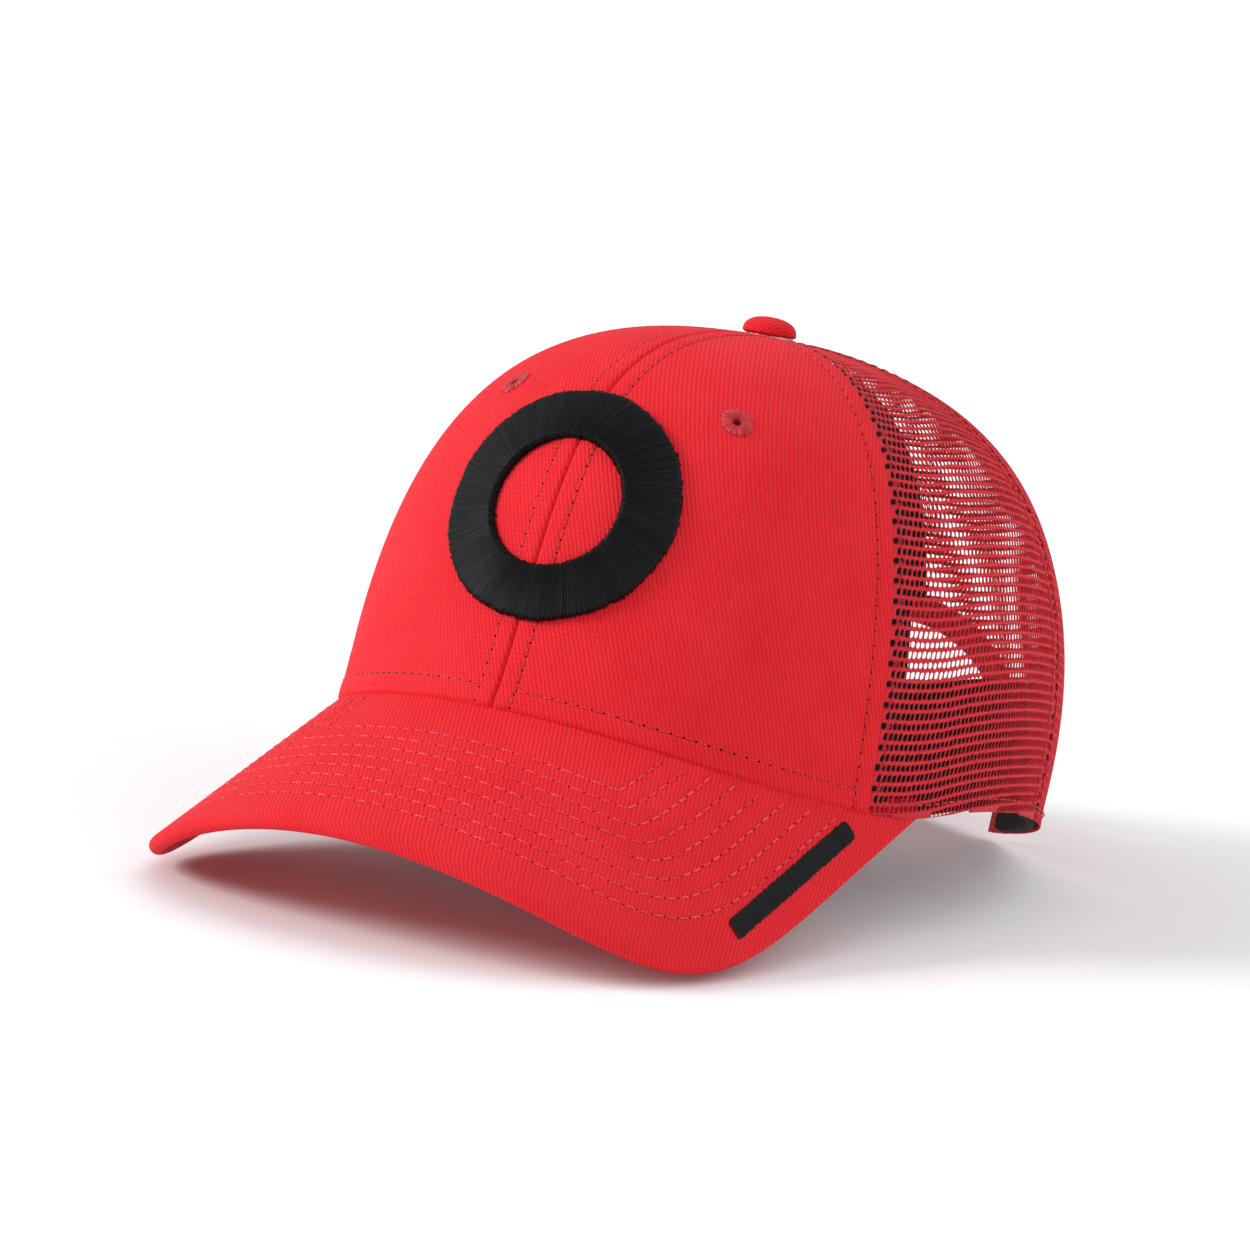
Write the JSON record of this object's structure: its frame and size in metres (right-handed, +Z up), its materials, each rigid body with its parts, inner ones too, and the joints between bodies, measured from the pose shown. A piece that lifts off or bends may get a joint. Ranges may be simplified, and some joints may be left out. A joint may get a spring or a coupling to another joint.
{
  "type": "trucker cap",
  "caption": "Curved-brim trucker cap with cloth front, open mesh sides and back, and a snap closure over the rear opening.",
  "frame": {"origin": "bottom centre of the overall box, on the surface the cap stands on", "axes": "-Y out of the front of the cap, +X to the wearer's left, +Z up"},
  "size_m": [0.164, 0.2724, 0.1313],
  "materials": {
    "twill": "matte",
    "mesh": "matte",
    "binding": "matte",
    "buckram": "matte",
    "tape": "matte",
    "band_cloth": "matte",
    "foam": "matte",
    "label": "matte",
    "board": "matte",
    "cup": "satin",
    "red_thread": "satin",
    "black_thread": "satin",
    "strap": "satin"
  },
  "bodies": {
    "cap": {"front_panel_left": "twill", "front_buckram_left": "buckram", "front_panel_right": "twill", "front_buckram_right": "buckram", "side_mesh_left": "mesh", "back_mesh_left": "mesh", "side_mesh_right": "mesh", "back_mesh_right": "mesh", "back_arch_binding": "binding", "seam_tape_front": "tape", "seam_tape_front_left": "tape", "seam_tape_front_right": "tape", "seam_tape_rear_left": "tape", "seam_tape_rear_right": "tape", "seam_tape_back": "tape", "sweatband_foam": "foam", "sweatband_cover": "band_cloth", "care_label": "label", "brim_board": "board", "brim_under_cover": "twill", "brim_top_cover": "twill", "button_shell": "cup", "button_cover": "twill", "button_backing": "cup", "eyelet_left": "red_thread", "eyelet_right": "red_thread", "front_emblem_foam": "foam", "front_emblem_stitching": "black_thread", "brim_bar_stitching": "black_thread", "hole_strap_tab": "strap", "peg_strap_tab": "strap"},
    "hole_strap": {"hole_strap": "strap"},
    "peg_strap": {"peg_strap": "strap"}
  },
  "joints": [
    {"name": "hole_strap_swing", "type": "hinge", "parent": "cap", "child": "hole_strap", "pos_m": [0.03394, 0.12182, 0.01624], "axis": [-0.0052, -0.1639, -0.9865], "range_deg": [0, 75], "stiffness_Nm_per_rad": 0.01},
    {"name": "peg_strap_swing", "type": "hinge", "parent": "cap", "child": "peg_strap", "pos_m": [-0.03394, 0.12182, 0.01624], "axis": [0.0052, -0.1639, -0.9865], "range_deg": [0, 45], "stiffness_Nm_per_rad": 0.01}
  ]
}
